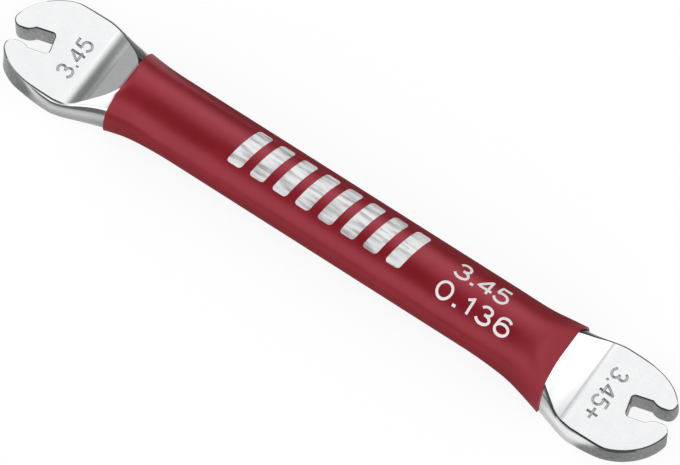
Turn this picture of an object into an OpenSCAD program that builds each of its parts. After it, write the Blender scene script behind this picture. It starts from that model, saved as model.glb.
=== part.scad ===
// Double-ended spoke wrench: one forged and milled steel bar with an open jaw at each end,
// and a thin shrunk vinyl sleeve over its middle.
// The origin is the middle of the wrench on the plane that it lies on.
// +X runs to the right head, +Y to the far side and +Z up. Lengths are in millimetres.
// The left head is the right head turned half a turn about Z.

/* [Bar] */
// Width of the steel bar in the middle of the handle
bar_w = 10.6; // [9.5:0.1:12]
// Thickness of the steel bar in the middle of the handle
bar_t = 9.7; // [8.6:0.1:10.6]
// Distance from the middle to where the bar starts to spread towards a head
neck_from = 27; // [22:0.5:31]

/* [Heads] */
// Distance from the middle to the line where a milled face meets its ramp
bend_x = 44.1; // [42.5:0.1:48]
// Thickness of a head from its underside to its milled face
head_t = 4.4; // [3.9:0.1:5]
// Widest part of a head, at the round of its flanks
flank_w = 17.2; // [16.4:0.1:18]
// Height of that widest level above the underside
flank_z = 1.5; // [1.2:0.1:2]
// Height that the forged blank would have at the head if its face were not milled
blank_z = 7.4; // [7:0.1:8]
// How far the forged blank would reach below the underside if it were not milled flat
blank_drop = 0.8; // [0.6:0.1:1]
// How far past the bend line a head keeps spreading
neck_past = 2.4; // [1.8:0.1:3.2]
// Slope of the ramp between a face and the top of the bar, in degrees
ramp_angle = 39; // [36:1:44]
// Radius of the round between a face and its ramp
bend_r = 2.5; // [1.5:0.1:3]

/* [Nose] */
// Width of the oval round the jaws, square to the slot
nose_w = 15.8; // [15:0.1:16.4]
// Half length of that oval, along the slot
nose_len = 9.85; // [9.4:0.05:10.4]
// Distance from the bottom of the slot back to the middle of that oval
nose_back = 2.5; // [2.2:0.1:2.8]
// Angle between the handle and the straight trims that run back from the oval, in degrees
trim_angle = 12; // [9:1:15]

/* [Jaws] */
// Gap of the left jaw, across the flats of the nipple
jaw_left = 3.45; // [3.2:0.05:3.6]
// Gap of the right jaw, a little wider for worn or painted nipples
jaw_right = 3.5; // [3.2:0.05:3.7]
// Distance from the bend line to the bottom of a slot
slot_reach = 7.54; // [7:0.02:8]
// Sideways place of the middle of a slot's bottom
slot_side = 0.27; // [0:0.01:0.5]
// Angle between a slot and the handle, in degrees
slot_angle = 15; // [10:1:18]
// Radius of the two corners at the bottom of a slot
slot_corner_r = 0.55; // [0.2:0.05:0.6]
// Width of the throat between the jaw tips, which lets a spoke through
throat_w = 2.16; // [2.1:0.02:2.5]
// Length of the throat between the shoulders and the round of the jaw tips
throat_len = 0.57; // [0.3:0.01:0.9]
// Radius of the shoulders between the gap and the throat
shoulder_r = 2.5; // [1.8:0.1:2.6]
// Radius of the jaw tips
tip_r = 1.3; // [1.1:0.05:1.5]

/* [Sleeve] */
// Wall of the shrunk sleeve
sleeve_wall = 0.5; // [0.4:0.05:0.6]
// Length of the sleeve
sleeve_len = 78.2; // [70:0.1:79]
// How far the middle of the sleeve lies towards the right head
sleeve_shift = 1.3; // [0:0.1:1.6]

/* [Hidden] */

// Exponents of the oval sections: 2 is an ellipse, more is squarer
bar_power = 2;
flank_top_power = 2.2;
flank_low_power = 2.6;
// How fast the bar spreads: more makes the neck fuller
spread_power = 1.25;
// Stations along each neck and points round each section
neck_steps = 15;
ring_points = 56;
// Flats along each side of a nose and along each round of a slot, and fineness of the bend
nose_steps = 24;
arc_steps = 10;
cut_facets = 96;
// Steps of closing in on where the jaw tips run into the nose
tip_steps = 12;

bar_low = sleeve_wall;
bar_mid = bar_low + bar_t / 2;
bar_top = bar_low + bar_t;
neck_to = bend_x + neck_past;
ramp_top_x = bend_x - (bar_top - head_t) / tan(ramp_angle);
slot_x = bend_x + slot_reach;
nose_x = slot_x - nose_back * cos(slot_angle);
sleeve_right = sleeve_len / 2 + sleeve_shift;
sleeve_left = sleeve_len / 2 - sleeve_shift;
// One overrun for every cut, and the end of the uncut blank just past the nose
over = bar_w;
blank_end = nose_x + nose_len;

function mix(a, b, t) = a + (b - a) * t;
function ease(t) = t * t * (3 - 2 * t);
function along(x, from, to) = max(0, min(1, (abs(x) - from) / (to - from)));
function spread(t) = 1 - pow(1 - t * t, spread_power);

// The section of the blank at a station: half width, widest level, top, low point and the two powers
function half_w(x) = mix(bar_w, flank_w, spread(along(x, neck_from, neck_to))) / 2;
function wide_z(x) = mix(bar_mid, flank_z, ease(along(x, neck_from, neck_to)));
function top_z(x) = mix(bar_top, blank_z, ease(along(x, ramp_top_x, neck_to)));
function low_z(x) = mix(bar_low, -blank_drop, ease(along(x, sleeve_right, neck_to)));
function top_power(x) = mix(bar_power, flank_top_power, ease(along(x, neck_from, neck_to)));
function low_power(x) = mix(bar_power, flank_low_power, ease(along(x, neck_from, neck_to)));

// A signed power keeps each quarter of an oval on its own side
function oval(v, power) = sign(v) * pow(abs(v), 2 / power);

// One point of a section, grown outwards by a wall
function section_point(x, turn, wall) =
    let (
        up = sin(turn) > 0,
        power = up ? top_power(x) : low_power(x),
        tall = (up ? top_z(x) - wide_z(x) : wide_z(x) - low_z(x)) + wall
    )
    [x, (half_w(x) + wall) * oval(cos(turn), power), wide_z(x) + tall * oval(sin(turn), power)];

// Stations of one neck, from its start to its end
neck = [for (i = [0 : neck_steps]) mix(neck_from, neck_to, i / neck_steps)];

// A closed skin through the sections at a list of stations
module loft(stations, wall) {
    last = len(stations) - 1;
    points = [for (x = stations, i = [0 : ring_points - 1]) section_point(x, i * 360 / ring_points, wall)];
    sides = [for (s = [0 : last - 1], i = [0 : ring_points - 1])
        let (a = s * ring_points, b = a + ring_points, j = (i + 1) % ring_points)
        [a + i, b + i, b + j, a + j]];
    start = [for (i = [0 : ring_points - 1]) i];
    end = [for (i = [ring_points - 1 : -1 : 0]) last * ring_points + i];
    polyhedron(points, concat(sides, [start, end]), convexity = 4);
}

// The forged blank before milling: round-oval bar, necks and flat paddles
module blank() {
    back = [for (i = [neck_steps : -1 : 0]) -neck[i]];
    loft(concat([-blank_end], back, neck, [blank_end]), 0);
}

// What the milling takes off above a face and its ramp, lifted off the steel by a wall
module face_cut(wall) {
    run = tan(ramp_angle / 2);
    foot = [bend_x + wall * run, head_t + wall];
    r = bend_r - wall;
    high = bar_top + over;
    ramp_back = (high - foot[1]) / tan(ramp_angle);
    rotate([90, 0, 0])
        linear_extrude(flank_w + over, center = true)
            union() {
                polygon([
                    [foot[0] + r * run, foot[1]],
                    [blank_end + over, foot[1]],
                    [blank_end + over, high],
                    [foot[0] - ramp_back, high],
                    [foot[0] - r * run * cos(ramp_angle), foot[1] + r * run * sin(ramp_angle)]
                ]);
                translate([foot[0] + r * run, foot[1] + r])
                    circle(r, $fn = cut_facets);
            }
}

// Angle of the outward normal of the nose oval at one of its turns
function normal_at(turn) = atan2(sin(turn) / (nose_w / 2), cos(turn) / nose_len);

// The turn of the nose oval where its outline has a given slope on its far side (1) or near
// side (-1)
function touch_turn(slope, side) =
    let (touch = atan2(nose_w / 2, side * nose_len * tan(slope)))
    atan2(side * sin(touch), cos(touch));

// The turn of the nose oval where the round jaw tips run into it, closed in on step by step
function tip_turn(turn, steps) =
    steps < 1 ? turn
    : tip_turn(asin((throat_w / 2 + tip_r + tip_r * sin(normal_at(turn))) / (nose_w / 2)), steps - 1);

// Points of the nose oval between two turns, seen from the middle of the slot's bottom
function nose_points(from, to) =
    [for (i = [0 : nose_steps])
        let (turn = mix(from, to, i / nose_steps))
        [nose_len * cos(turn) - nose_back, nose_w / 2 * sin(turn)]];

// Points of a round cut about a middle, between two angles
function arc_points(middle, r, from, to) =
    [for (i = [0 : arc_steps])
        let (turn = mix(from, to, i / arc_steps))
        middle + r * [cos(turn), sin(turn)]];

// The far half of a slot from its bottom out to the jaw tip: a corner of the square pocket for
// the nipple, a round shoulder, the throat for the spoke and the round tip
function half_slot(gap, tip) =
    let (
        half_throat = throat_w / 2,
        shoulder_y = half_throat + shoulder_r,
        lean = normal_at(tip),
        tip_x = nose_len * cos(tip) - nose_back - tip_r * cos(lean),
        throat_at = tip_x - throat_len
    )
    concat(
        arc_points([slot_corner_r, gap / 2 - slot_corner_r], slot_corner_r, 180, 90),
        arc_points([throat_at, shoulder_y], shoulder_r,
            asin((shoulder_y - gap / 2) / shoulder_r) - 180, -90),
        [for (i = [0 : arc_steps - 1])
            arc_points([tip_x, half_throat + tip_r], tip_r, -90, lean)[i]]
    );

// The plan of one head with its slot: straight trims from the handle, an oval round the jaws
module head_plan(gap) {
    tip = tip_turn(0, tip_steps);
    far = nose_points(tip, touch_turn(slot_angle + trim_angle, 1));
    near = nose_points(touch_turn(slot_angle - trim_angle, -1), -tip);
    slot = half_slot(gap, tip);
    back = slot_x + over;
    translate([slot_x, slot_side])
        rotate(slot_angle)
            polygon(concat(
                [near[0] + back * [-cos(slot_angle - trim_angle), sin(slot_angle - trim_angle)]],
                near,
                [for (i = [len(slot) - 1 : -1 : 0]) [slot[i][0], -slot[i][1]]],
                slot,
                far,
                [far[nose_steps] + back * [-cos(slot_angle + trim_angle), sin(slot_angle + trim_angle)]]
            ));
}

// The steel: the blank trimmed and slotted to its plan, laid flat below and milled above
module wrench_body() {
    color("gainsboro")
        difference() {
            intersection() {
                blank();
                linear_extrude(bar_top + over)
                    union() {
                        head_plan(jaw_right);
                        rotate(180) head_plan(jaw_left);
                    }
            }
            face_cut(0);
            rotate([0, 0, 180]) face_cut(0);
        }
}

// The sleeve: the bar's own outline grown by the wall, with the steel taken out of it
module grip_sleeve() {
    left = [for (i = [neck_steps : -1 : 0]) if (neck[i] < sleeve_left) -neck[i]];
    right = [for (x = neck) if (x < sleeve_right) x];
    color("firebrick")
        difference() {
            loft(concat([-sleeve_left], left, right, [sleeve_right]), sleeve_wall);
            difference() {
                blank();
                face_cut(0);
                rotate([0, 0, 180]) face_cut(0);
            }
            face_cut(sleeve_wall);
            rotate([0, 0, 180]) face_cut(sleeve_wall);
        }
}

wrench_body();
grip_sleeve();
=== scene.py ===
# %% [markdown]
# # A double-ended spoke wrench
# The real object is one bar of forged steel. Each end is milled flat and slotted to grip a
# spoke nipple, and a thin vinyl sleeve is shrunk over the middle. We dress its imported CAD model:
# the steel gets rounded edges and stamped sizes, the sleeve its soft wall and its print.
# The CAD model is loaded first. It is the frame that every piece is set against.

# %% Load the frame
from math import asin, atan2, ceil, cos, pi, radians, sin, sqrt, tan

import bpy
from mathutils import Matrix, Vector


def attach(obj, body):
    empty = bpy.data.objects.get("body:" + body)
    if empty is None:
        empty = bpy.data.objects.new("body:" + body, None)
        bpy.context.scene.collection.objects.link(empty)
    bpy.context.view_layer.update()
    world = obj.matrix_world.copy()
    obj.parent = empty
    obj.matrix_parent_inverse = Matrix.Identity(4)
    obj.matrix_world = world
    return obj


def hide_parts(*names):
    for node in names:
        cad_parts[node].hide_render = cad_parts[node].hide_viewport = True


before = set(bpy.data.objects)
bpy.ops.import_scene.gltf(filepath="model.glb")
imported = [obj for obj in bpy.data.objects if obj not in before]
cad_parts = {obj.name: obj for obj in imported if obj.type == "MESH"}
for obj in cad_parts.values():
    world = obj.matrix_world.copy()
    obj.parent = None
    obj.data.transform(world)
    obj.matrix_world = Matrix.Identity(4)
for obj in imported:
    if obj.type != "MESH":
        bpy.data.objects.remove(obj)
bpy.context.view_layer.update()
MM = 0.001

# %% [markdown]
# ## The camera
# A product photo is taken from far away with a long lens, which keeps the two ends of a long
# tool nearly the same size. The camera could be placed by eye, but the four corners of the two
# jaws fix it well: it stands above the near side and a little to the right.

# %% Camera
AIM = Vector((0.66, -0.34, 2.29)) * MM
TOWARDS_CAMERA = Vector((0.2318, -0.3342, 0.9135))
DISTANCE = 1183.4 * MM

camera_data = bpy.data.cameras.new("camera")
camera_data.lens = 423.5
camera_data.sensor_width = 36
camera_data.clip_end = 10
camera = bpy.data.objects.new("camera", camera_data)
camera.location = AIM + TOWARDS_CAMERA * DISTANCE
camera.rotation_euler = TOWARDS_CAMERA.to_track_quat("Z", "Y").to_euler()
bpy.context.scene.collection.objects.link(camera)
bpy.context.scene.camera = camera
print("camera at", [round(v, 3) for v in camera.location])

# %% [markdown]
# ## Helpers that work as by hand
# An operator acts on all that is selected, so a few helpers select by place and nothing else.
# A piece starts as a drum: a circle that is extruded row by row. Each point of a drum then has
# a column and a row, and a rule can say where on the real piece that point belongs.

# %% Selecting and measuring
def mode(name):
    bpy.ops.object.mode_set(mode=name)


def take(piece):
    """Makes one piece the only selected one."""
    bpy.ops.object.select_all(action="DESELECT")
    piece.select_set(True)
    bpy.context.view_layer.objects.active = piece


def pick(piece, wanted, kind="VERT"):
    """Selects the points, edges or faces that a test wants, and leaves the piece in edit mode."""
    take(piece)
    mode("EDIT")
    bpy.ops.mesh.select_mode(type=kind)
    bpy.ops.mesh.select_all(action="DESELECT")
    mode("OBJECT")
    parts = {"VERT": piece.data.vertices, "EDGE": piece.data.edges, "FACE": piece.data.polygons}
    for part in parts[kind]:
        part.select = bool(wanted(part))
    mode("EDIT")


def everything(part):
    return True


def extent(piece):
    """The lowest and the highest X, Y and Z of a piece's points, in millimetres."""
    spans = [[v.co[axis] / MM for v in piece.data.vertices] for axis in range(3)]
    return [(round(min(span), 2), round(max(span), 2)) for span in spans]


# %% Modifiers
def apply_modifier(piece, kind, **settings):
    """Adds a modifier to a piece, sets it and applies it."""
    take(piece)
    bpy.ops.object.modifier_add(type=kind)
    added = piece.modifiers[-1]
    for name, value in settings.items():
        setattr(added, name, value)
    bpy.ops.object.modifier_apply(modifier=added.name)


# %% Drums
def drum(name, columns, rows):
    """An open drum of radius 1, one unit high for each row, with a point per column and row."""
    bpy.ops.object.select_all(action="DESELECT")
    bpy.ops.mesh.primitive_circle_add(vertices=columns, radius=1)
    piece = bpy.context.active_object
    piece.name = piece.data.name = name
    for row in range(1, rows):
        below_newest = row - 1.5
        pick(piece, lambda v: v.co.z > below_newest)
        bpy.ops.mesh.extrude_region_move(TRANSFORM_OT_translate={"value": (0, 0, 1)})
        mode("OBJECT")
    return piece


def lay(piece, columns, place):
    """Moves each point of a drum to place(column, row), and says which point is where.

    The first column starts at +Y, and the columns run clockwise as seen from above.
    """
    spots = {}
    for v in piece.data.vertices:
        turns = 0.25 - atan2(v.co.y, v.co.x) / (2 * pi)
        spot = (round(turns * columns) % columns, round(v.co.z))
        spots[v.index] = spot
        v.co = place(*spot)
    return spots


# %% From one size to another
def mix(a, b, t):
    return a + (b - a) * t


def ease(t):
    return t * t * (3 - 2 * t)


def along(x, start, end):
    """How far the distance from the middle has got from a start to an end, from 0 to 1."""
    return max(0, min(1, (abs(x) - start) / (end - start)))


def lesser(a, b, round_by):
    """The lesser of two sizes, with a soft change from one to the other."""
    return (a + b - sqrt((a - b) ** 2 + round_by ** 2)) / 2


def steps(start, step, count):
    return [start + step * i for i in range(count)]


# %% [markdown]
# ## The steel bar, as one rule
# The forged blank is oval in the handle, and spreads to a flat paddle at each head. Its section
# is a superellipse whose width, widest level, top and low point change along the bar. Milling
# then cuts a flat face with a round into a ramp, and the underside is ground flat.
# Booleans on such a skin leave slivers that no bevel can follow, so the rule gives the cut
# shape directly. All sizes are in millimetres here, with the right head at +X.

# %% The blank
HALF_BAR, HALF_FLANK = 5.3, 8.6
BAR_MID, BAR_TOP, BAR_LOW = 5.35, 10.2, 0.5
FLANK_LEVEL, BLANK_TOP, BLANK_LOW = 1.5, 7.4, -0.8
NECK_FROM, NECK_TO, SLEEVE_END, RAMP_TOP = 27, 46.5, 40.4, 36.94
SPREAD_POWER, BAR_POWER, TOP_POWER, LOW_POWER = 1.25, 2, 2.2, 2.6


def blank_at(x):
    """The section at x: half width, widest level, and the reach and power above and below it."""
    neck = along(x, NECK_FROM, NECK_TO)
    half = mix(HALF_BAR, HALF_FLANK, 1 - (1 - neck * neck) ** SPREAD_POWER)
    mid = mix(BAR_MID, FLANK_LEVEL, ease(neck))
    top = mix(BAR_TOP, BLANK_TOP, ease(along(x, RAMP_TOP, NECK_TO)))
    low = mix(BAR_LOW, BLANK_LOW, ease(along(x, SLEEVE_END, NECK_TO)))
    above = (top - mid, mix(BAR_POWER, TOP_POWER, ease(neck)))
    below = (mid - low, mix(BAR_POWER, LOW_POWER, ease(neck)))
    return half, mid, above, below


def half_width(x, z):
    """Half the width of the blank at x and at a height."""
    half, mid, above, below = blank_at(x)
    reach, power = above if z > mid else below
    return half * max(0, 1 - min(1, abs(z - mid) / reach) ** power) ** (1 / power)


print("widest", 2 * half_width(NECK_TO, FLANK_LEVEL), "in the handle", 2 * half_width(0, BAR_MID))

# %% [markdown]
# The far sides of the real necks are a little slimmer than this drawn blank, so the wall and
# the sleeve over it both come in there. The change fades out before the handle and the head.

# %% Slim far sides
SLIM_RIGHT, SLIM_LEFT = 0.3, 0.18
SLIM_STARTS, SLIM_ENDS = (29, 36), (41, 46)


def slim(x, side):
    """How much slimmer than the drawn blank the far side of a neck is."""
    most = 0 if side < 0 else SLIM_RIGHT if x > 0 else SLIM_LEFT
    return most * ease(along(x, *SLIM_STARTS)) * (1 - ease(along(x, *SLIM_ENDS)))


# %% The milled face and its ramp
FACE_LEVEL, BEND_X, BEND_RADIUS, RAMP = 4.4, 44.1, 4, radians(39)
BEND_RUN = BEND_RADIUS * tan(RAMP / 2)


def milled_top(x):
    """Height of the milled surface at a distance from the middle."""
    x = abs(x)
    if x >= BEND_X + BEND_RUN:
        return FACE_LEVEL
    if x <= BEND_X - BEND_RUN * cos(RAMP):
        return FACE_LEVEL + (BEND_X - x) * tan(RAMP)
    return FACE_LEVEL + BEND_RADIUS - sqrt(BEND_RADIUS ** 2 - (BEND_X + BEND_RUN - x) ** 2)


print("face", milled_top(NECK_TO), "ramp at the sleeve", round(milled_top(SLEEVE_END), 2))

# %% [markdown]
# ## The outline of a head
# Seen from above, a head is an oval round the jaws with straight trims back to the neck. The
# slot is a square pocket for the nipple, then round shoulders, a throat that lets the spoke
# through, and round jaw tips. It is laid out in its own frame, where the slot runs along the
# first axis from the middle of its bottom, and the far half is mirrored to give the near half.

# %% The nose oval
NOSE_LENGTH, NOSE_HALF, NOSE_BACK = 9.85, 7.9, 2.5
SLOT_AT, SLOT_ANGLE, TRIM_ANGLE = (51.64, 0.27), radians(15), radians(12)
TIP_RADIUS, THROAT_HALF = 1.3, 1.08
CLOSING_STEPS = 12


def normal_turn(turn):
    """The direction square to the nose oval at one of its turns."""
    return atan2(sin(turn) / NOSE_HALF, cos(turn) / NOSE_LENGTH)


def touch_turn(slope, side):
    """The turn where a straight trim of a given slope touches the oval."""
    touch = atan2(NOSE_HALF, side * NOSE_LENGTH * tan(slope))
    return atan2(side * sin(touch), cos(touch))


tip_turn = 0
for closer in range(CLOSING_STEPS):
    tip_turn = asin((THROAT_HALF + TIP_RADIUS * (1 + sin(normal_turn(tip_turn)))) / NOSE_HALF)
print("the jaw tips run into the oval at", round(tip_turn * 180 / pi, 1), "degrees")

# %% Arcs of points
SHOULDER_STEPS, CORNER_STEPS, TIP_STEPS, NOSE_STEPS, POCKET_STEPS = 12, 7, 14, 26, 4


def oval_arc(middle, radii, start, end, count):
    """Points of an oval between two angles."""
    turns = [mix(start, end, i / count) for i in range(count + 1)]
    return [(middle[0] + radii[0] * cos(t), middle[1] + radii[1] * sin(t)) for t in turns]


def arc_points(middle, radius, start, end, count):
    return oval_arc(middle, (radius, radius), start, end, count)


def nose_points(start, end):
    return oval_arc((-NOSE_BACK, 0), (NOSE_LENGTH, NOSE_HALF), start, end, NOSE_STEPS)


# %% The slot
CORNER_RADIUS, SHOULDER_RADIUS, THROAT_AT = 0.55, 2.5, 4.9
JAW_LEFT, JAW_RIGHT = 3.45, 3.5


def half_slot(gap):
    """The far half of a slot, from its bottom out to where the tip runs into the oval."""
    lean = normal_turn(tip_turn)
    tip_x = NOSE_LENGTH * cos(tip_turn) - NOSE_BACK - TIP_RADIUS * cos(lean)
    rise = THROAT_HALF + SHOULDER_RADIUS
    shoulder = arc_points((THROAT_AT, rise), SHOULDER_RADIUS,
                          asin((rise - gap / 2) / SHOULDER_RADIUS) - pi, -pi / 2, SHOULDER_STEPS)
    corner = arc_points((CORNER_RADIUS, gap / 2 - CORNER_RADIUS), CORNER_RADIUS,
                        pi, pi / 2, CORNER_STEPS)
    wall = [(mix(CORNER_RADIUS, shoulder[0][0], i / POCKET_STEPS), gap / 2)
            for i in range(1, POCKET_STEPS)]
    tip = arc_points((tip_x, THROAT_HALF + TIP_RADIUS), TIP_RADIUS, -pi / 2, lean, TIP_STEPS)
    return corner + wall + shoulder + tip[:-1]


def to_bar(point):
    """A point of the slot's own frame, in the frame of the bar."""
    s, t = point
    c, d = cos(SLOT_ANGLE), sin(SLOT_ANGLE)
    return (SLOT_AT[0] + s * c - t * d, SLOT_AT[1] + s * d + t * c)


# %% [markdown]
# ## The whole outline
# The outline runs once round the wrench, seen from above. Its stations lie far apart on the
# plain bar and close together on the necks and at the bends. Nothing is trimmed along the
# handle, so there the outline is drawn far too wide and the blank alone gives the width.

# %% Outline
STATIONS = steps(0, 5.0, 6) + [28, 30, 32, 34, 35.5] + steps(36.4, 0.4, 17) + steps(43.2, 0.22, 9)
TRIM_STATIONS = steps(45.5, 0.5, 14)
LEAST_STEP, WIDE = 0.2, 30


def head_outline(gap):
    """A head's outline from the far side round to the near side, at the right end."""
    far = [to_bar(p) for p in nose_points(touch_turn(SLOT_ANGLE + TRIM_ANGLE, 1), tip_turn)]
    near = [to_bar(p) for p in nose_points(-tip_turn, touch_turn(SLOT_ANGLE - TRIM_ANGLE, -1))]
    slot = half_slot(gap)
    trim = tan(TRIM_ANGLE)
    far_trim = [(x, far[0][1] + (far[0][0] - x) * trim)
                for x in TRIM_STATIONS if x < far[0][0] - LEAST_STEP]
    near_trim = [(x, near[-1][1] - (near[-1][0] - x) * trim)
                 for x in reversed(TRIM_STATIONS) if x < near[-1][0] - LEAST_STEP]
    return (far_trim + far + [to_bar(p) for p in reversed(slot)]
            + [to_bar((s, -t)) for s, t in slot] + near + near_trim)


def turned(points):
    return [(-x, -y) for x, y in points]


far_side = [(x, WIDE) for x in [-s for s in reversed(STATIONS[1:])] + STATIONS]
outline = far_side + head_outline(JAW_RIGHT) + turned(far_side) + turned(head_outline(JAW_LEFT))
COLUMNS = len(outline)
print("outline of", COLUMNS, "points")

# %% [markdown]
# ## The profile of the wall
# Each point of the outline carries a wall from the underside to the milled top. The wall follows
# the forged flank or the trimmed outline, whichever lies further in, with a soft change where
# the flank fades out. One wall of each nose leans out a little towards its underside. A real
# milled edge is broken, so each wall starts and ends in a small round, drawn as a three-point
# curve from the flat onto the wall. Along the handle there is no flat, and the wall stops just
# short of the crown.

# %% Walls in plan
FADE = 0.25
LEAN, LEAN_ZONE = 0.13, (4, 6)
SLOT_ZONE = 5


def wall_point(column, z):
    """Where the wall of a column stands at a height, in plan."""
    x, y = outline[column % COLUMNS]
    jaw_side = y if x > 0 else -y
    if jaw_side > LEAN_ZONE[0] and abs(y) < WIDE and z < FACE_LEVEL:
        (ax, ay), (bx, by) = [outline[(column + step) % COLUMNS] for step in (-1, 1)]
        lean = LEAN * ease(along(jaw_side, *LEAN_ZONE)) * (FACE_LEVEL - z)
        lean /= sqrt((bx - ax) ** 2 + (by - ay) ** 2)
        x, y = x + (ay - by) * lean, y + (bx - ax) * lean
    if abs(y) < SLOT_ZONE:
        return (x, y)
    side = 1 if y > 0 else -1
    return (x, side * lesser(abs(y), half_width(x, z) - slim(x, side), FADE))


def outward(column):
    """The direction square to the wall at a column, in plan."""
    (ax, ay), (bx, by) = [wall_point(column + step, FACE_LEVEL) for step in (-1, 1)]
    length = sqrt((bx - ax) ** 2 + (by - ay) ** 2)
    return ((ay - by) / length, (bx - ax) / length)


# %% Levels of the wall
LEAST_HALF = 2.4


def level_at(x, turn):
    """Height of the blank's section at a turn from its widest level."""
    half, mid, above, below = blank_at(x)
    reach, power = above if turn > 0 else below
    return mid + (1 if turn > 0 else -1) * reach * sin(abs(turn)) ** (2 / power)


def turn_of(x, z):
    """The turn at which the blank's section reaches a height."""
    half, mid, above, below = blank_at(x)
    reach, power = above if z > mid else below
    return (1 if z > mid else -1) * asin(min(1, abs(z - mid) / reach) ** (power / 2))


def flat_level(x, upper):
    """Where the wall ends at x: on the milled top or the underside, or short of the crown."""
    half, mid, above, below = blank_at(x)
    reach, power = above if upper else below
    to_crown = reach * (1 - (LEAST_HALF / half) ** power) ** (1 / power)
    return min(milled_top(x), mid + to_crown) if upper else max(0, mid - to_crown)


# %% From the underside round to the top
TOP_ROUND, LOW_ROUND = 0.2, 0.3
ROUND_ROWS, FLANK_ROWS = 4, 13
WALL_TOP_ROW = ROUND_ROWS + FLANK_ROWS
ROWS = WALL_TOP_ROW + ROUND_ROWS + 1


def curve(a, b, c, t):
    return [mix(mix(p, q, t), mix(q, r, t), t) for p, q, r in zip(a, b, c)]


def steel_place(column, row):
    """Where a point of the steel belongs: on the lower round, the flank or the upper round."""
    x = outline[column][0]
    nx, ny = outward(column)
    low, high = flat_level(x, False), flat_level(x, True)

    def edge(level, inwards):
        px, py = wall_point(column, level)
        return (px - nx * inwards, py - ny * inwards, level)

    if row <= ROUND_ROWS:
        t = row / ROUND_ROWS
        p = curve(edge(low, LOW_ROUND), edge(low, 0), edge(low + LOW_ROUND, 0), t)
    elif row >= WALL_TOP_ROW:
        t = (row - WALL_TOP_ROW) / ROUND_ROWS
        p = curve(edge(high - TOP_ROUND, 0), edge(high, 0), edge(high, TOP_ROUND), t)
    else:
        t = (row - ROUND_ROWS) / FLANK_ROWS
        turn = mix(turn_of(x, low + LOW_ROUND), turn_of(x, high - TOP_ROUND), t)
        level = level_at(x, turn)
        p = (*wall_point(column, level), level)
    return Vector(p) * MM


# %% Lay the steel
steel = drum("steel", COLUMNS, ROWS)
steel_spots = lay(steel, COLUMNS, steel_place)
print("steel", len(steel.data.vertices), "points over", extent(steel))

# %% [markdown]
# ## Bright flanks, dull walls and a painted dark edge line
# On the real steel the forged flanks are as bright as a mirror, while the walls that were
# trimmed or slotted are dull, and their darker grey is partly that duller finish and partly
# painted dark reflection. Along the milled face, where the edge is broken, a thin dark line
# of painted reflection is laid into the colour. It is thick on the far side of the necks and
# round the near side of the right nose, faint on the slot walls that face away and along the
# near side of the left head, and missing where the left ramp runs out on the near side.
# Materials of their own would need seams in the mesh. So each point carries two values, one
# for the painted edge line and one for the dull walls, and the steel's finish blends by them.

# %% Where the painted edge line and the dull walls are
HEAD_FROM, LINE_STEP, RAMP_FROM = 45, 44, 43
NOSE_LINE = (49, 54)
FAINT_IN_SLOT, FAINT_ON_LEFT, TURNED_AWAY, LEFT_NEAR_EDGE = 0.85, 0.35, 0.3, 6
TRIM_SHOWS, LEFT_TRIM = (0.02, 0.15), 3.4


def in_slot(x, y):
    return abs(x) > HEAD_FROM and abs(y) < SLOT_ZONE


def painted_edge_shade_at(x, y, column, row):
    """How much of the dark edge line, a painted reflection, a point carries."""
    on_left_ramp = along(x, HEAD_FROM, RAMP_FROM) if x < 0 and y < 0 else 0
    far_neck = y > 0 and abs(x) < RAMP_FROM
    thick = 1 if far_neck else ease(along(x, *NOSE_LINE)) * (x > 0 and y < -SLOT_ZONE)
    from_row = WALL_TOP_ROW - (abs(x) < LINE_STEP and on_left_ramp == 0)
    dark = 1 if row > from_row else thick * (row > from_row - 2)
    faint = FAINT_IN_SLOT * (in_slot(x, y) and outward(column)[1] > TURNED_AWAY)
    faint += FAINT_ON_LEFT * (x < 0 and y < -LEFT_NEAR_EDGE)
    return dark * (row < ROWS - 1) * (1 - on_left_ramp) * (1 - faint)


def dull_and_painted_shade_at(x, y, z, column, row):
    """How dull a point is, and how much painted dark reflection it gets: wholly in a slot and
    where the outline cuts well into the flank.
    """
    cut_in = max(0, half_width(x, z) - abs(y)) / (1 if x > 0 else LEFT_TRIM)
    trimmed = 1 if in_slot(x, y) else ease(along(cut_in, *TRIM_SHOWS))
    return (0 < row < WALL_TOP_ROW + 2) * (abs(outline[column][1]) < WIDE) * trimmed


# One value paints the dark edge line, a painted reflection, into the steel's colour.
painted_edge_shade = steel.data.attributes.new("painted_edge_shade", "FLOAT", "POINT")
# The other value makes the walls rougher, and darkens their colour as painted dark reflection.
dull_and_painted_shade = steel.data.attributes.new("dull_and_painted_shade", "FLOAT", "POINT")
for index, (column, row) in steel_spots.items():
    x, y, z = steel.data.vertices[index].co / MM
    painted_edge_shade.data[index].value = painted_edge_shade_at(x, y, column, row)
    dull_and_painted_shade.data[index].value = dull_and_painted_shade_at(x, y, z, column, row)
print(sum(v.value > 0.5 for v in painted_edge_shade.data), "points on the dark line,",
      sum(v.value > 0.5 for v in dull_and_painted_shade.data), "on dull walls")

# %% [markdown]
# ## Closing the steel above and below
# The wall is still open. Its two long sides are bridged across the top, and across the underside
# with cuts that then drop onto the round belly of the neck. The four holes that are left are
# flat, the two milled faces and the two ground undersides, and one fill closes each.

# %% Bridge the long sides
BELLY_CUTS = 6
SIDE = len(far_side)
HALF_TURN = SIDE + len(head_outline(JAW_RIGHT))
side_columns = set(range(SIDE)) | set(range(HALF_TURN, HALF_TURN + SIDE))


def on_long_sides(row):
    def wanted(edge):
        a, b = [steel_spots.get(v, (-1, -1)) for v in edge.vertices]
        return a[1] == b[1] == row and a[0] in side_columns and b[0] in side_columns
    return wanted


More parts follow.
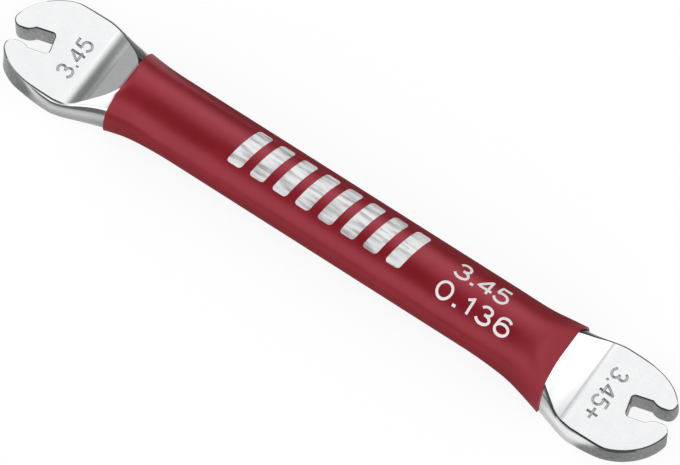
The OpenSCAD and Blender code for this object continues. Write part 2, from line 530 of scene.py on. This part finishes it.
pick(steel, on_long_sides(ROWS - 1), "EDGE")
bpy.ops.mesh.bridge_edge_loops()
mode("OBJECT")
pick(steel, on_long_sides(0), "EDGE")
bpy.ops.mesh.bridge_edge_loops(number_cuts=BELLY_CUTS)
mode("OBJECT")
for v in steel.data.vertices:
    if v.index not in steel_spots and abs(v.co.x) < NECK_TO * MM:
        half, mid, above, (reach, power) = blank_at(v.co.x / MM)
        crown = (1 - (abs(v.co.y) / MM / half) ** power) ** (1 / power)
        v.co.z = MM * max(0, mid - reach * crown)

# %% Fill the flats
pick(steel, lambda v: False)
bpy.ops.mesh.select_non_manifold(extend=False)
bpy.ops.mesh.fill_holes(sides=0)
bpy.ops.mesh.select_all(action="SELECT")
bpy.ops.mesh.normals_make_consistent(inside=False)
mode("OBJECT")
print("steel has", len(steel.data.polygons), "faces")

# %% [markdown]
# ## Numbers drawn as strokes
# The sizes are struck into the steel and printed on the sleeve in the plain upright numerals of
# tool makers. A font could give them, but its strokes are too heavy and end square. So each
# numeral is a few lines and arcs in a box one high, drawn as a curve with a round pen, and the
# curve is turned into a mesh. Strokes that cross lie at slightly different heights, since two
# pens at the very same height would leave open seams where they are cut into the steel.

# %% Numeral strokes
def sweep(middle, radii, start, end, count=16):
    """Points of an oval arc between two angles in degrees."""
    return oval_arc(middle, radii, radians(start), radians(end), count)


NUMERALS = {
    "0": (0.7, [sweep((0.35, 0.5), (0.33, 0.5), 0, 360, 28)]),
    "1": (0.5, [[(0.08, 0.76), (0.2, 0.84), (0.32, 1.0), (0.32, 0.0)]]),
    "3": (0.7, [sweep((0.33, 0.75), (0.25, 0.25), 165, -90),
                sweep((0.33, 0.26), (0.31, 0.26), 95, -165)]),
    "4": (0.7, [[(0.5, 0.0), (0.5, 1.0)], [(0.5, 0.97), (0.02, 0.28), (0.68, 0.28)]]),
    "5": (0.7, [[(0.6, 1.0), (0.16, 1.0), (0.09, 0.53)],
                sweep((0.33, 0.32), (0.31, 0.32), 138, -160)]),
    "6": (0.7, [sweep((0.36, 0.68), (0.29, 0.32), 30, 165, 10)
                + sweep((0.35, 0.31), (0.31, 0.31), 180, 540, 26)]),
    ".": (0.24, [[(0.04, 0.05), (0.2, 0.05)]]),
    "+": (0.8, [[(0.02, 0.5), (0.78, 0.5)], [(0.4, 0.12), (0.4, 0.88)]]),
}

# %% Writing with a round pen
FINE_STEP, STROKE_STEP = 0.12, 0.013


def fine(stroke):
    """A stroke with points close enough together to follow a curved surface."""
    points = [stroke[0]]
    for (ax, ay), (bx, by) in zip(stroke, stroke[1:]):
        parts = max(1, round(sqrt((bx - ax) ** 2 + (by - ay) ** 2) / FINE_STEP))
        points += [(mix(ax, bx, i / parts), mix(ay, by, i / parts)) for i in range(1, parts + 1)]
    return points


def write(name, body, height, pen, turn, middle, gap, stretch=1.0):
    """Draws a plain number with a round pen, centred on a place and turned in plan, as a mesh."""
    drawn = bpy.data.curves.new(name, "CURVE")
    drawn.dimensions = "3D"
    drawn.bevel_depth, drawn.bevel_resolution, drawn.use_fill_caps = pen / 2 * MM, 2, True
    width = sum(NUMERALS[letter][0] + gap for letter in body) - gap
    start = -width / 2
    for letter in body:
        for depth, stroke in enumerate(map(fine, NUMERALS[letter][1])):
            line = drawn.splines.new("POLY")
            line.points.add(len(stroke) - 1)
            for point, (x, y) in zip(line.points, stroke):
                at = ((start + x) * stretch * height, (y - 0.5) * height, STROKE_STEP * depth)
                point.co = (*(Vector(at) * MM), 1)
        start += NUMERALS[letter][0] + gap
    piece = bpy.data.objects.new(name, drawn)
    bpy.context.scene.collection.objects.link(piece)
    take(piece)
    bpy.ops.object.convert(target="MESH")
    piece = bpy.context.active_object
    piece.location = Vector((*middle, 0)) * MM
    piece.rotation_euler = (0, 0, turn)
    bpy.ops.object.transform_apply(location=True, rotation=True, scale=True)
    return piece


# %% [markdown]
# ## Stamped sizes
# Each face carries its gap, struck with number punches: a plain 3.45, and a plus for the looser
# jaw. Dark numbers in the finish would do from afar, but real dents catch the light on their
# walls. So the strokes are sunk into the face with a boolean. The dents keep the material of
# the punch, which gets its own finish.

# %% Stamps
STAMP_HIGH, STAMP_PEN, STAMP_SUNK, STAMP_GAP = 2.45, 0.46, 0.15, 0.14
STAMPS = (("3.45", pi / 2, (-47.5, -0.2)), ("3.45+", -pi / 2, (47.9, -0.3)))
# The punch's finish paints shade on the walls of the dents.
dent_finish_and_shade = bpy.data.materials.new("stamped_steel")
steel_finish = bpy.data.materials.new("satin_chromed_steel")
steel.data.materials.append(steel_finish)

for body, turn, middle in STAMPS:
    punch = write("punch", body, STAMP_HIGH, STAMP_PEN, turn, middle, STAMP_GAP)
    punch.data.materials.append(dent_finish_and_shade)
    for v in punch.data.vertices:
        v.co.z += (FACE_LEVEL + STAMP_PEN / 2 - STAMP_SUNK) * MM
    apply_modifier(steel, "BOOLEAN", object=punch, operation="DIFFERENCE", solver="EXACT",
                   use_self=True, material_mode="TRANSFER")
    bpy.data.objects.remove(punch)
print("stamped steel has", len(steel.data.polygons), "faces")

# %% [markdown]
# ## The sleeve
# Shrink tube takes the shape of what it covers: it is round along the handle, spreads with the
# necks and dips where it climbs down onto a ramp. A drum of vinyl gets the blank's sections
# grown by the wall, and a solidify modifier gives it its thickness inwards, so that its open
# ends show the real wall. It is no even coat: it lies a little fuller on the near side of the
# handle, and its ends are drawn back where the tube had to stretch most, on the crown of the
# bar and round the far side of the right neck.

# %% How the tube departs from an even coat
SLEEVE_WALL, SLEEVE_THICK, SLEEVE_LEFT, SLEEVE_RIGHT = 0.46, 0.36, -37.75, 40.6
FULL_NEAR, FULL_FAR, CLING_NEAR = 0.33, 0.04, 0.12
FULL_NEAR_ENDS, FULL_FAR_ENDS, CLING_STARTS = (28, 35), (26, 32), (31, 36)
DRAWN_RIGHT, DRAWN_RIGHT_FROM, DRAWN_LEFT, DRAWN_LEFT_FROM = 0.6, 34, 0.35, 32


def fuller(x, far):
    """How much further out than an even coat the tube lies, on its far or near side."""
    if far:
        return FULL_FAR * (1 - ease(along(x, *FULL_FAR_ENDS))) - slim(x, 1)
    clinging = CLING_NEAR * ease(along(x, *CLING_STARTS))
    return FULL_NEAR * (1 - ease(along(x, *FULL_NEAR_ENDS))) - clinging


def drawn_back(x, turn):
    """How far towards the middle a point is drawn along the tube."""
    crown = sin(turn) ** 4
    if x < 0:
        return DRAWN_LEFT * crown * (sin(turn) > 0) * along(x, DRAWN_LEFT_FROM, -SLEEVE_LEFT)
    if sin(turn) > 0:
        share = 1 if cos(turn) > 0 else crown
    else:
        share = (1 + cos(turn)) / 2
    return -DRAWN_RIGHT * share * along(x, DRAWN_RIGHT_FROM, SLEEVE_RIGHT)


# %% Sleeve skin
SLEEVE_COLUMNS, DIP = 112, 0.5
OVER_RAMP = SLEEVE_WALL / cos(RAMP)
LEFT_STEPS = (0, 0.25, 0.6, 1, 1.6, 2.4, 3.2, 4.2, 5.4, 6.8, 8.4, 10.2)
RIGHT_STEPS = (13.2, 11.6, 10, 8.4, 7, 5.8, 4.7, 3.8, 3.1, 2.5, 2, 1.5, 1, 0.6, 0.25, 0)
sleeve_rows = [SLEEVE_LEFT + t for t in LEFT_STEPS]
sleeve_rows += steps(-25, 2.5, 21)
sleeve_rows += [SLEEVE_RIGHT - t for t in RIGHT_STEPS]


def sleeve_place(column, row):
    """Where a point of the tube belongs: over the blank's section, or lower over a ramp."""
    x = sleeve_rows[row]
    turn = pi / 2 - 2 * pi * column / SLEEVE_COLUMNS
    half, mid, above, below = blank_at(x)
    reach, power = above if sin(turn) > 0 else below

    def part(v):
        return (1 if v > 0 else -1) * abs(v) ** (2 / power)
    y = (half + SLEEVE_WALL) * part(cos(turn)) + fuller(x, cos(turn) > 0) * cos(turn)
    z = mid + (reach + SLEEVE_WALL) * part(sin(turn))
    x += drawn_back(x, turn)
    z = lesser(z, FACE_LEVEL + (BEND_X - abs(x)) * tan(RAMP) + OVER_RAMP, DIP)
    return Vector((x, y, max(z, 0))) * MM


sleeve = drum("sleeve", SLEEVE_COLUMNS, len(sleeve_rows))
lay(sleeve, SLEEVE_COLUMNS, sleeve_place)
pick(sleeve, everything, "FACE")
bpy.ops.mesh.normals_make_consistent(inside=False)
mode("OBJECT")
print("sleeve", len(sleeve.data.vertices), "points over", extent(sleeve))

# %% Sleeve wall
apply_modifier(sleeve, "SOLIDIFY", thickness=SLEEVE_THICK * MM, offset=-1, use_even_offset=True)
bpy.ops.object.shade_smooth_by_angle(angle=radians(40))
print("sleeve has", len(sleeve.data.polygons), "faces")

# %% [markdown]
# ## Print on the sleeve
# The sleeve is screen printed: a row of slanted brushed bars in silver, and the two plain sizes
# in white. Print could be a mask in the sleeve's material, but real ink is a thin raised film
# with a crisp edge. So each mark is drawn flat, cut into strips that can bend, dropped straight
# down onto the sleeve and given the thickness of ink.

# %% Ink that follows the sleeve
INK, DROP_FROM = 0.03, 20


def drop_on_sleeve(piece, flatten):
    """Drops each point straight down onto the sleeve, and keeps a share of its own height."""
    own = [v.co.z for v in piece.data.vertices]
    for v in piece.data.vertices:
        v.co.z = DROP_FROM * MM
    apply_modifier(piece, "SHRINKWRAP", target=sleeve, wrap_method="PROJECT",
                   wrap_mode="ON_SURFACE", use_project_z=True, use_negative_direction=True,
                   use_positive_direction=False)
    for v, height in zip(piece.data.vertices, own):
        v.co.z += height * flatten


# %% Sizes in white
PRINT_HIGH, PRINT_PEN, PRINT_STRETCH = 2.5, 0.44, 1.4
SIZES = (("size_3_45", "3.45", (24.7, 1.9), 0.1), ("size_0_136", "0.136", (25.7, -2.1), 0.2))
numbers = []
for name, body, middle, gap in SIZES:
    piece = write(name, body, PRINT_HIGH, PRINT_PEN, 0, middle, gap, PRINT_STRETCH)
    drop_on_sleeve(piece, INK * 2 / PRINT_PEN)
    bpy.ops.object.shade_smooth()
    numbers.append(piece)
    print(name, "over", extent(piece))

# %% [markdown]
# The bars are all alike until they bend onto the sleeve, so one is drawn flat and copied. Its
# paler border is an inset with a material slot of its own. The strips are narrower across the
# handle than along it, since the sleeve bends more that way.

# %% One flat bar
BAR_WIDE, BAR_HIGH, BAR_LEAN = 2.5, 6.9, 1.3
BAR_CORNER, BAR_BORDER = 0.5, 0.22

bpy.ops.object.select_all(action="DESELECT")
bpy.ops.mesh.primitive_plane_add(size=1 * MM, location=(0, 0, 0))
first_bar = bpy.context.active_object
first_bar.name = "bar_1"
first_bar.scale = (BAR_WIDE, BAR_HIGH, 1)
bpy.ops.object.transform_apply(location=True, rotation=True, scale=True)
pick(first_bar, lambda v: v.co.y > 0)
bpy.ops.transform.translate(value=(BAR_LEAN * MM, 0, 0))
bpy.ops.mesh.select_all(action="SELECT")
bpy.ops.mesh.bevel(offset=BAR_CORNER * MM, segments=5, affect="VERTICES")
bpy.ops.mesh.select_all(action="SELECT")
bpy.ops.mesh.inset(thickness=BAR_BORDER * MM)
bpy.ops.mesh.select_all(action="INVERT")
for slot in range(2):
    bpy.ops.object.material_slot_add()
first_bar.active_material_index = 1
bpy.ops.object.material_slot_assign()
mode("OBJECT")
print("a flat bar has", len(first_bar.data.polygons), "faces")

# %% A row of bars on the sleeve
BAR_COUNT, BAR_PITCH, FIRST_X, BARS_Y = 8, 4.05, -16.6, 0.35
ALONG, ACROSS = 0, 1
STRIPS = ((ALONG, -30, 0.9), (ACROSS, -4, 0.4))

bars = [first_bar]
for i in range(1, BAR_COUNT):
    bar = first_bar.copy()
    bar.data = first_bar.data.copy()
    bar.name = f"bar_{i + 1}"
    bpy.context.scene.collection.objects.link(bar)
    bars.append(bar)


def cut_in_strips(piece, axis, start, step):
    """Cuts a piece square to an axis at every step from a start, so that it can bend."""
    reach = [v.co[axis] / MM for v in piece.data.vertices]
    square = [float(i == axis) for i in range(3)]
    pick(piece, everything)
    for i in range(ceil((min(reach) - start) / step), ceil((max(reach) - start) / step)):
        at = (start + i * step) * MM
        bpy.ops.mesh.select_all(action="SELECT")
        bpy.ops.mesh.bisect(plane_co=(at, at, 0), plane_no=square)
    mode("OBJECT")


for i, bar in enumerate(bars):
    pick(bar, everything)
    bpy.ops.transform.translate(value=((FIRST_X + BAR_PITCH * i) * MM, BARS_Y * MM, 0))
    mode("OBJECT")
    for axis, start, step in STRIPS:
        cut_in_strips(bar, axis, start, step)
    drop_on_sleeve(bar, 0)
    apply_modifier(bar, "SOLIDIFY", thickness=INK * MM, offset=1)
    bpy.ops.object.shade_smooth_by_angle(angle=radians(50))
print(len(bars), "bars of about", len(bars[0].data.polygons), "faces, the last over", extent(bar))

# %% [markdown]
# ## Flat stays flat
# Smooth shading bends the light on a flat face that meets a round, and long thin faces show it
# as streaks. So the edge between each flat and its round is marked sharp, and so are the rims
# of the stamps: the round starts level with the flat, so no crease shows.

# %% Smooth the steel
UNTURNED, UPWARDS = 1e-4, 0.5
flat = {f.index for f in steel.data.polygons
        if abs(f.normal.y) < UNTURNED and abs(f.normal.z) > UPWARDS}
sides = {}
for f in steel.data.polygons:
    for key in f.edge_keys:
        sides.setdefault(key, []).append(f.index in flat)
take(steel)
bpy.ops.object.shade_smooth_by_angle(angle=radians(35))
pick(steel, lambda e: any(sides[e.key]) and not all(sides[e.key]), "EDGE")
bpy.ops.mesh.mark_sharp()
mode("OBJECT")
print(sum(e.use_edge_sharp for e in steel.data.edges), "sharp edges")

# %% [markdown]
# ## Finishes
# Each finish is made of nodes that read Object coordinates, so it needs no image. A few small
# helpers add nodes and wire them, and the materials below stay short.

# %% Node helpers
def material(name):
    """A material with that name, its nodes and its shader."""
    made = bpy.data.materials.get(name) or bpy.data.materials.new(name)
    made.use_nodes = True
    return made, made.node_tree, made.node_tree.nodes["Principled BSDF"]


def node(tree, kind, inputs=(), **settings):
    """Adds a node, sets it, and fills its inputs with values or with other nodes' outputs."""
    made = tree.nodes.new(kind)
    for name, value in settings.items():
        setattr(made, name, value)
    for name, value in dict(inputs).items():
        if isinstance(value, bpy.types.NodeSocket):
            tree.links.new(value, made.inputs[name])
        else:
            made.inputs[name].default_value = value
    return made


def work_out(tree, operation, *values, clamp=False):
    """The result of a sum on numbers or outputs."""
    inputs = dict(enumerate(values))
    return node(tree, "ShaderNodeMath", inputs, operation=operation, use_clamp=clamp).outputs[0]


# %% Colours from nodes
def grey(level):
    return (level, level, level, 1)


def ramp(tree, value, stops):
    """A colour ramp from stops of (position, grey or colour)."""
    made = node(tree, "ShaderNodeValToRGB", {"Fac": value})
    stops = [(at, grey(c) if isinstance(c, float) else (*c, 1)) for at, c in stops]
    for at, colour in stops[1:-1]:
        made.color_ramp.elements.new(at)
    elements = sorted(made.color_ramp.elements, key=lambda e: e.position)
    for element, (at, colour) in zip(elements, stops):
        element.position, element.color = at, colour
    return made.outputs["Color"]


def blend(tree, share, first, second, how="MIX"):
    """Goes from the first colour to the second by a share, or to their product."""
    inputs = {0: share, 6: first, 7: second}
    return node(tree, "ShaderNodeMix", inputs, data_type="RGBA", blend_type=how).outputs[2]


# %% Places and patterns from nodes
def object_place(tree):
    return node(tree, "ShaderNodeTexCoord").outputs["Object"]


def parts_of(tree, vector):
    """The X, Y and Z of a vector."""
    return node(tree, "ShaderNodeSeparateXYZ", {0: vector}).outputs


def facing(tree):
    """The direction that the surface faces, as X, Y and Z."""
    return parts_of(tree, node(tree, "ShaderNodeNewGeometry").outputs["Normal"])


def noise(tree, place, scale, detail):
    inputs = {"Vector": place, "Scale": scale, "Detail": detail}
    return node(tree, "ShaderNodeTexNoise", inputs).outputs["Fac"]


def drawn_out(tree, place, scale):
    """Coordinates with a scale for each axis, which draw a pattern out along one of them."""
    return node(tree, "ShaderNodeMapping", {"Vector": place, "Scale": scale}).outputs[0]


def bumps(tree, height, strength, depth):
    inputs = {"Height": height, "Strength": strength, "Distance": depth}
    return node(tree, "ShaderNodeBump", inputs).outputs[0]


# %% [markdown]
# ### Chrome plated steel
# The forged steel is plated with satin chrome. Its flanks and ramps are smooth and reflect
# like a mirror, its milled faces show fine brush marks, and the trimmed walls are dull and
# grey, a grey that is partly their rougher finish and partly painted dark reflection.
# These could be three materials with hard seams between them. Here one finish blends them, by
# where the surface faces and by the two values that its points carry. The foot of the left
# ramp mirrors the face in front of it, which leaves a hard step in its shade. So shade is
# painted into the colour along the ramp, with a faint painted highlight just above it, which
# evens this out and keeps the darkest place next to the bend.

# %% Steel: how rough
steel_finish, tree, shader = material("satin_chromed_steel")
place = object_place(tree)
faces = facing(tree)
brush = noise(tree, drawn_out(tree, place, (700, 120, 700)), 2.0, 6.0)
grain = noise(tree, place, 2200.0, 3.0)
milled = ramp(tree, faces["Z"], [(0.93, 0.0), (0.985, 1.0)])
on_ramp = ramp(tree, work_out(tree, "MULTIPLY", faces["X"], -1.0), [(0.15, 0.0), (0.35, 1.0)])
trimmed = node(tree, "ShaderNodeAttribute", attribute_name="dull_and_painted_shade").outputs["Fac"]

forged = blend(tree, on_ramp, grey(0.06), ramp(tree, grain, [(0.3, 0.1), (0.7, 0.16)]))
rough = blend(tree, milled, forged, ramp(tree, brush, [(0.3, 0.24), (0.7, 0.31)]))
rough = blend(tree, trimmed, rough, ramp(tree, grain, [(0.3, 0.28), (0.7, 0.42)]))
tree.links.new(rough, shader.inputs["Roughness"])

# %% Steel: colour
CM, PAINTED_SHADE_FROM = 10 * MM, -46 * MM
patch = noise(tree, place, 420.0, 2.0)
edge = node(tree, "ShaderNodeAttribute", attribute_name="painted_edge_shade").outputs["Fac"]
bright = ramp(tree, patch, [(0.3, (0.9, 0.91, 0.92)), (0.7, (0.93, 0.935, 0.94))])
# The walls' darker grey is partly their duller finish and partly painted dark reflection.
walls = ramp(tree, grain, [(0.35, (0.22, 0.23, 0.235)), (0.65, (0.38, 0.39, 0.395))])
colour = blend(tree, trimmed, bright, walls)
# Painted reflection: where the points carry the edge line, the colour goes nearly black.
colour = blend(tree, edge, colour, ramp(tree, grain, [(0.3, 0.05), (0.7, 0.09)]))

# Painted shade and a faint painted highlight: the left ramp's colour darkens near the bend and
# brightens a little above it.
up_ramp = work_out(tree, "MULTIPLY_ADD", parts_of(tree, place)["X"], 1 / CM, -PAINTED_SHADE_FROM / CM)
painted_ramp_shade = ramp(tree, up_ramp, [(0.2, 1.0), (0.28, 0.82), (0.33, 0.68), (0.36, 0.75), (0.39, 0.92),
                            (0.42, 1.07), (0.455, 1.07), (0.485, 0.95), (0.53, 1.0)])
colour = blend(tree, on_ramp, colour, painted_ramp_shade, "MULTIPLY")
tree.links.new(colour, shader.inputs["Base Color"])
shader.inputs["Metallic"].default_value = 1

marks = node(tree, "ShaderNodeMix", {0: milled, 2: 0.5, 3: grain}).outputs[0]
tree.links.new(bumps(tree, marks, 0.1, 0.02 * MM), shader.inputs["Normal"])

# %% [markdown]
# ### Stamped steel
# A punch leaves rough walls round a floor that stays nearly as bright as the face. The walls
# get painted shade: the dents are too small for a pattern, so their colour goes dark by the
# direction that they face.

# %% Stamped steel
dent_finish_and_shade, tree, shader = material("stamped_steel")
# Painted shade: the dent walls are coloured nearly black as they turn away from upwards.
painted_dent_shade = ramp(tree, facing(tree)["Z"], [(0.8, (0.09, 0.09, 0.095)), (0.98, (0.74, 0.75, 0.76))])
tree.links.new(painted_dent_shade, shader.inputs["Base Color"])
shader.inputs["Metallic"].default_value = 1
shader.inputs["Roughness"].default_value = 0.38

# %% [markdown]
# ### Wine red vinyl
# The tube is solid coloured vinyl with a soft sheen and very fine pores. A plain white sheen
# would look like clear varnish over paint, so the sheen is strong and tinted red. Where the
# tube is stretched over the right neck it is duller.

# %% Vinyl
STRETCHED_FROM, STRETCHED_TO = 33 * MM, 38 * MM
vinyl, tree, shader = material("wine_red_vinyl")
place = object_place(tree)
cloud = noise(tree, place, 160.0, 3.0)
pores = noise(tree, place, 5200.0, 2.0)
colour = ramp(tree, cloud, [(0.3, (0.215, 0.0012, 0.004)), (0.7, (0.25, 0.0025, 0.0065))])
tree.links.new(colour, shader.inputs["Base Color"])

stretched = ramp(tree, parts_of(tree, place)["X"], [(STRETCHED_FROM, 0.0), (STRETCHED_TO, 1.0)])
rough = blend(tree, stretched, ramp(tree, cloud, [(0.3, 0.27), (0.7, 0.33)]), grey(0.5))
tree.links.new(rough, shader.inputs["Roughness"])
shader.inputs["IOR"].default_value = 1.8
shader.inputs["Specular IOR Level"].default_value = 1.0
shader.inputs["Specular Tint"].default_value = (0.92, 0.27, 0.36, 1)
tree.links.new(bumps(tree, pores, 0.15, 0.03 * MM), shader.inputs["Normal"])

# %% [markdown]
# ### Inks
# The sizes are printed in opaque white. The bars are printed in silver that looks brushed
# along the handle, with a paler border. Silver ink is full of tiny flakes and never as clear
# as metal, so a fully metallic finish would look like foil. It is only partly metallic.

# %% Speckled inks
def speckled_ink(name, darkest, brightest, metallic, roughness):
    made, tree, shader = material(name)
    speck = noise(tree, object_place(tree), 3000.0, 2.0)
    colour = ramp(tree, speck, [(0.3, darkest), (0.7, brightest)])
    tree.links.new(colour, shader.inputs["Base Color"])
    shader.inputs["Metallic"].default_value = metallic
    shader.inputs["Roughness"].default_value = roughness
    return made


white_ink = speckled_ink("white_ink", 0.82, 0.9, 0.0, 0.5)
silver_border = speckled_ink("pale_silver_ink", 0.8, 0.9, 0.2, 0.45)

# %% Brushed ink
silver_ink, tree, shader = material("brushed_silver_ink")
streak = noise(tree, drawn_out(tree, object_place(tree), (260, 1500, 260)), 1.0, 5.0)
silver = ramp(tree, streak, [(0.32, 0.45), (0.55, 0.9), (0.7, 0.98)])
tree.links.new(silver, shader.inputs["Base Color"])
tree.links.new(ramp(tree, streak, [(0.3, 0.35), (0.7, 0.5)]), shader.inputs["Roughness"])
shader.inputs["Metallic"].default_value = 0.35

# %% Give each piece its finish
sleeve.data.materials.append(vinyl)
for piece in numbers:
    piece.data.materials.append(white_ink)
for bar in bars:
    bar.material_slots[0].material, bar.material_slots[1].material = silver_ink, silver_border
for name, finish in (("wrench_body", steel_finish), ("grip_sleeve", vinyl)):
    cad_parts[name].data.materials.clear()
    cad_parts[name].data.materials.append(finish)
print("finishes", sorted(m.name for m in bpy.data.materials))

# %% [markdown]
# ## Joining the pieces to the part
# Nothing on the wrench moves, so every piece rides on the one body. The dressed steel and sleeve
# stand for the two solids of the CAD model, and the print is added to them.

# %% Place the pieces
for piece, cad_node, slot in ((steel, "wrench_body", "steel"), (sleeve, "grip_sleeve", "sleeve")):
    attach(piece, "root")
    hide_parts(cad_node)
for piece in numbers + bars:
    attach(piece, "root")
print(2 + len(numbers + bars), "pieces ride on the root")

# %% [markdown]
# ## The table
# The table of a catalogue picture is lit until it is nearly pure white, and keeps a soft
# shadow. A plain white plane would show the shadow, but chrome also needs something to reflect.
# So the plane glows: white for the camera, and for reflections a pattern of light and dark
# cards, as a photographer lays them beside a tool. One pattern serves the two heads, and a
# darker one the handle. A share of plain paper stays in the mix and takes the shadow.

# %% Table: where a point lies
TABLE_SIZE, PATTERN_LONG, PATTERN_WIDE = 4, 0.5, 0.25
bpy.ops.object.select_all(action="DESELECT")
bpy.ops.mesh.primitive_plane_add(size=TABLE_SIZE)
floor = bpy.context.active_object
floor.name = "floor"
paper, tree, shader = material("white_paper")
shader.inputs["Base Color"].default_value = (0.85, 0.85, 0.85, 1)
shader.inputs["Roughness"].default_value = 0.9
floor.data.materials.append(paper)

at = parts_of(tree, object_place(tree))
lengthwise = work_out(tree, "MULTIPLY_ADD", at["X"], 1 / PATTERN_LONG, 0.5)
sideways = work_out(tree, "MULTIPLY_ADD", at["Y"], 1 / PATTERN_WIDE, 0.5)

# %% Table: cards beside the wrench
cards = ramp(tree, lengthwise, [(0.08, 0.5), (0.14, 0.3), (0.2, 0.22), (0.34, 0.5), (0.37, 1.0),
                                (0.39, 1.0), (0.402, 0.6), (0.42, 0.6), (0.58, 0.95),
                                (0.602, 0.95), (0.608, 0.72), (0.66, 0.7), (0.8, 0.6)])
by_left_head = ramp(tree, sideways, [(0.31, 1.7), (0.33, 0.0), (0.422, 0.0), (0.43, 0.6),
                                     (0.44, 0.8), (0.45, 0.95), (0.463, 0.5), (0.466, 0.5),
                                     (0.475, 1.0)])
by_right_head = ramp(tree, sideways, [(0.45, 1.0), (0.463, 0.6), (0.466, 0.6), (0.475, 1.0)])
by_handle = ramp(tree, sideways, [(0.3, 0.1), (0.36, 0.5), (0.42, 0.4), (0.46, 0.12),
                                  (0.54, 0.02), (0.9, 0.05)])
on_right = ramp(tree, lengthwise, [(0.49, 0.0), (0.51, 1.0)])
on_handle = ramp(tree, lengthwise, [(0.42, 0.0), (0.428, 1.0), (0.572, 1.0), (0.58, 0.0)])
by_heads = blend(tree, 1.0, cards, blend(tree, on_right, by_left_head, by_right_head), "MULTIPLY")
reflected = blend(tree, on_handle, by_heads, by_handle)

# %% Table: glow for the camera and for reflections
CAMERA_GLOW, GLOW_SHARE = 1.06, 0.82
rays = node(tree, "ShaderNodeLightPath").outputs
seen = work_out(tree, "ADD", rays["Is Camera Ray"], rays["Is Glossy Ray"], clamp=True)
seen = work_out(tree, "ADD", seen, rays["Is Transmission Ray"], clamp=True)
light = blend(tree, rays["Is Camera Ray"], reflected, grey(CAMERA_GLOW))
glow = node(tree, "ShaderNodeEmission", {"Color": light, "Strength": 1.0}).outputs[0]
share = work_out(tree, "MULTIPLY", seen, GLOW_SHARE)
both = node(tree, "ShaderNodeMixShader", {0: share, 1: shader.outputs[0], 2: glow}).outputs[0]
tree.links.new(both, tree.nodes["Material Output"].inputs["Surface"])

# %% [markdown]
# ## The studio
# Chrome shows its surroundings, so the studio is a picture in the world that only reflections
# see. From the far side over the top to the near side it has a big soft box, a dark gap and a
# second, lower box, which give the bright and dark bands along the sleeve and the flanks. On
# the far side a dark line stands to the right, for the grey line at the right bend, and a grey
# wall to the left, for the left ramp. On the near side white cards stand left and right of the
# boxes, and a low one on the left brightens the left neck. Real boxes could be modelled, but
# they need as much tuning and more light paths. All other light is an even glow, a little
# stronger from the near side.

# %% Studio: directions
world = bpy.data.worlds.new("studio")
bpy.context.scene.world = world
world.use_nodes = True
tree = world.node_tree
axes = parts_of(tree, node(tree, "ShaderNodeTexCoord").outputs["Generated"])
around = work_out(tree, "DIVIDE", work_out(tree, "ARCTAN2", axes["Z"], axes["Y"]), pi)
across = work_out(tree, "MULTIPLY_ADD", axes["X"], 0.5, 0.5)
low_left = work_out(tree, "MULTIPLY_ADD", axes["Z"], 0.175, across)

# %% Studio: boxes, wall and cards
boxes = ramp(tree, around, [(0.0, 0.05), (0.08, 0.2), (0.145, 0.6), (0.21, 1.1), (0.278, 1.5),
                            (0.345, 1.15), (0.39, 1.0), (0.42, 0.9), (0.48, 0.38), (0.54, 0.05),
                            (0.6, 0.0), (0.68, 0.0), (0.745, 0.25), (0.81, 0.85), (0.88, 0.97),
                            (0.955, 0.7), (1.0, 0.58)])
dark_line = ramp(tree, across, [(0.58, 1.0), (0.6, 0.35), (0.64, 0.35), (0.66, 1.0)])
left_wall = ramp(tree, across, [(0.03, 0.26), (0.065, 0.4), (0.097, 0.6), (0.15, 0.85),
                                (0.19, 1.0)])
on_left = ramp(tree, across, [(0.19, 1.0), (0.22, 0.0)])
back = blend(tree, on_left, blend(tree, 1.0, boxes, dark_line, "MULTIPLY"), left_wall)

white_cards = ramp(tree, across, [(0.22, 1.0), (0.26, 0.0), (0.53, 0.0), (0.56, 1.0)])
near_card = ramp(tree, low_left, [(0.377, 1.0), (0.417, 0.0)])
front = blend(tree, near_card, blend(tree, white_cards, boxes, grey(1.1)), grey(1.2))
behind = ramp(tree, axes["Y"], [(0.05, 0.0), (0.18, 1.0)])
room = blend(tree, behind, front, back)

# %% Studio: a picture for reflections, even light for the rest
EVEN_LIGHT, LESS_FROM_BEHIND = 0.86, -0.3
plain = tree.nodes["Background"]
plain.inputs["Color"].default_value = (1, 1, 1, 1)
strength = work_out(tree, "MULTIPLY_ADD", axes["Y"], LESS_FROM_BEHIND, EVEN_LIGHT)
tree.links.new(strength, plain.inputs["Strength"])
picture = node(tree, "ShaderNodeBackground", {"Color": room, "Strength": 1.0}).outputs[0]
rays = node(tree, "ShaderNodeLightPath").outputs
mixed = node(tree, "ShaderNodeMixShader",
             {0: rays["Is Glossy Ray"], 1: plain.outputs[0], 2: picture})
tree.links.new(mixed.outputs[0], tree.nodes["World Output"].inputs["Surface"])
bpy.context.scene.view_settings.view_transform = "Standard"
